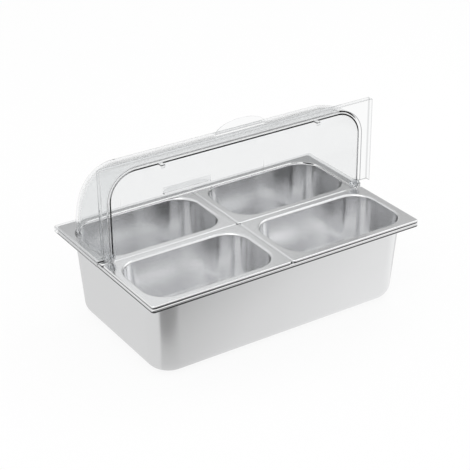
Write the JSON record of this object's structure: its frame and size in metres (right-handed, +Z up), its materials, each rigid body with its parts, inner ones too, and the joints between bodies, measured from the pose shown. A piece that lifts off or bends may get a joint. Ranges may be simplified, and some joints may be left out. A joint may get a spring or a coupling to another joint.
{
  "type": "food display container",
  "caption": "Food display container: quarter pans on a bar in a deep outer pan, under a clear roll-back cover.",
  "frame": {"origin": "centre of the outer pan's flat underside", "axes": "+Z up, +X along the long side, +Y to the back, away from the side that the cover opens on"},
  "size_m": [0.54, 0.3515, 0.354],
  "materials": {
    "pan_steel": "satin stainless sheet",
    "inner_steel": "satin stainless sheet, a little brighter",
    "clear_plastic": "clear moulded plastic with a faint grey tint",
    "pivot_plastic": "clear moulded plastic"
  },
  "bodies": {
    "outer_pan": {"outer_pan": "pan_steel"},
    "pan_front_left": {"pan_front_left": "inner_steel"},
    "pan_front_right": {"pan_front_right": "inner_steel"},
    "pan_back_left": {"pan_back_left": "inner_steel"},
    "pan_back_right": {"pan_back_right": "inner_steel"},
    "support_bar": {"support_bar": "inner_steel"},
    "cover_rear": {"cover_rear": "clear_plastic", "pivot_pin_left": "pivot_plastic", "pivot_pin_right": "pivot_plastic", "pivot_washer_left": "pivot_plastic", "pivot_washer_right": "pivot_plastic", "pivot_cap_left": "pivot_plastic", "pivot_cap_right": "pivot_plastic"},
    "cover_front": {"cover_front": "clear_plastic"}
  },
  "joints": [
    {"name": "cover_lift", "type": "slide", "parent": "outer_pan", "child": "cover_rear", "axis": [0, 0, 1], "range_m": [0, 0.4]},
    {"name": "front_cover_roll", "type": "hinge", "parent": "cover_rear", "child": "cover_front", "pos_m": [0, 0, 0.165], "axis": [1, 0, 0], "range_deg": [0, 90]},
    {"name": "pan_front_left_lift", "type": "slide", "parent": "outer_pan", "child": "pan_front_left", "axis": [0, 0, 1], "range_m": [0, 0.2]},
    {"name": "pan_front_right_lift", "type": "slide", "parent": "outer_pan", "child": "pan_front_right", "axis": [0, 0, 1], "range_m": [0, 0.2]},
    {"name": "pan_back_left_lift", "type": "slide", "parent": "outer_pan", "child": "pan_back_left", "axis": [0, 0, 1], "range_m": [0, 0.2]},
    {"name": "pan_back_right_lift", "type": "slide", "parent": "outer_pan", "child": "pan_back_right", "axis": [0, 0, 1], "range_m": [0, 0.2]},
    {"name": "bar_lift", "type": "slide", "parent": "outer_pan", "child": "support_bar", "axis": [0, 0, 1], "range_m": [0, 0.1]}
  ],
  "couplings": [
    {"joint": "pan_front_left_lift", "follows": "cover_lift", "ratio": 0.5},
    {"joint": "pan_front_right_lift", "follows": "cover_lift", "ratio": 0.5},
    {"joint": "pan_back_left_lift", "follows": "cover_lift", "ratio": 0.5},
    {"joint": "pan_back_right_lift", "follows": "cover_lift", "ratio": 0.5},
    {"joint": "bar_lift", "follows": "cover_lift", "ratio": 0.25}
  ]
}
